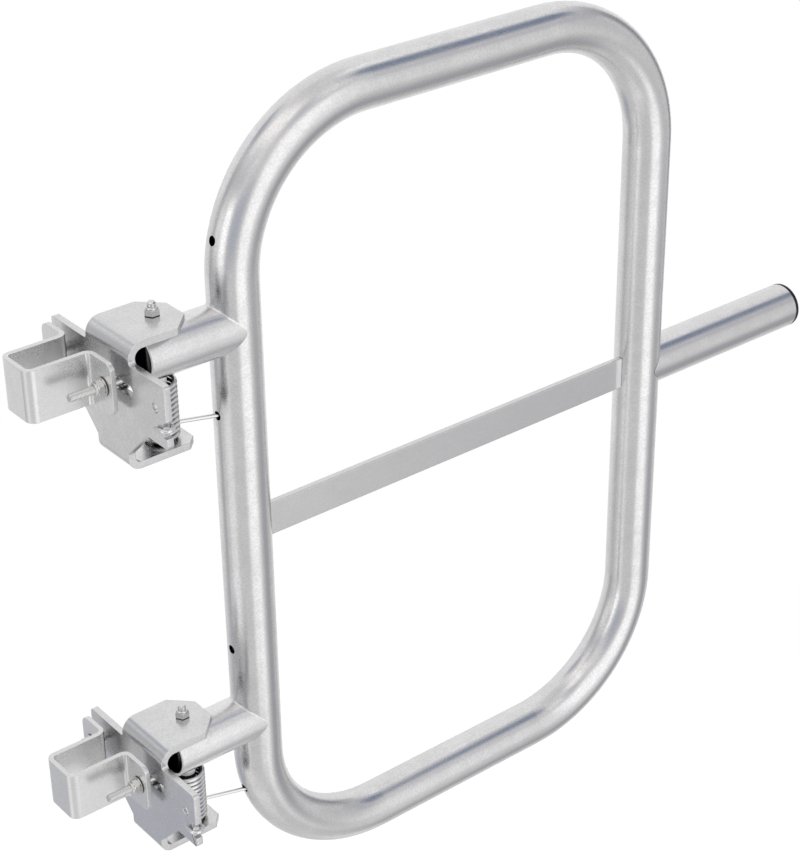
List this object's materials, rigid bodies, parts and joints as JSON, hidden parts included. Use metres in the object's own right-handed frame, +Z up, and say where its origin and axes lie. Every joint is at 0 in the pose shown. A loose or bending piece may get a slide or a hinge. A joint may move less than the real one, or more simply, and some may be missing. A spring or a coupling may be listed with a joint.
{
  "type": "self-closing walk-through gate for livestock barns",
  "caption": "Self-closing walk-through gate: a bent tube loop with a cross bar and a stop tube swings on sprung hinges clamped to a post.",
  "frame": {"origin": "centre of the lower clamp's post socket, at the middle of the strap's height", "axes": "+X along the closed leaf from the post to the stop tube, +Y to the back (the leaf opens towards -Y), +Z up along the post"},
  "size_m": [0.9399, 0.1808, 0.85],
  "materials": {
    "galvanised_tube": "satin",
    "galvanised_bar": "satin",
    "galvanised_plate": "satin",
    "zinc_fasteners": "semi-gloss",
    "spring_wire": "satin",
    "black_plastic": "matte"
  },
  "bodies": {
    "post_side": {"upper_hinge_bracket": "galvanised_plate", "upper_post_clamp": "galvanised_plate", "upper_clamp_bolts": "zinc_fasteners", "upper_clamp_nuts": "zinc_fasteners", "upper_clamp_washers": "zinc_fasteners", "upper_hinge_bolt": "zinc_fasteners", "upper_hinge_nut": "zinc_fasteners", "upper_spring": "spring_wire", "lower_hinge_bracket": "galvanised_plate", "lower_post_clamp": "galvanised_plate", "lower_clamp_bolts": "zinc_fasteners", "lower_clamp_nuts": "zinc_fasteners", "lower_clamp_washers": "zinc_fasteners", "lower_hinge_bolt": "zinc_fasteners", "lower_hinge_nut": "zinc_fasteners", "lower_spring": "spring_wire"},
    "leaf": {"loop_tube": "galvanised_tube", "cross_bar": "galvanised_bar", "upper_hinge_arm": "galvanised_tube", "lower_hinge_arm": "galvanised_tube", "upper_hinge_sleeve": "galvanised_tube", "lower_hinge_sleeve": "galvanised_tube", "stop_tube": "galvanised_tube", "stop_tube_plug": "black_plastic"}
  },
  "joints": [
    {"name": "gate_swing", "type": "hinge", "parent": "post_side", "child": "leaf", "pos_m": [0.08305, -0.029, 0.2205], "axis": [0, 0, -1], "range_deg": [0, 90], "stiffness_Nm_per_rad": 4.7, "springref_deg": -44.98, "deforming": ["upper_spring", "lower_spring"]}
  ]
}
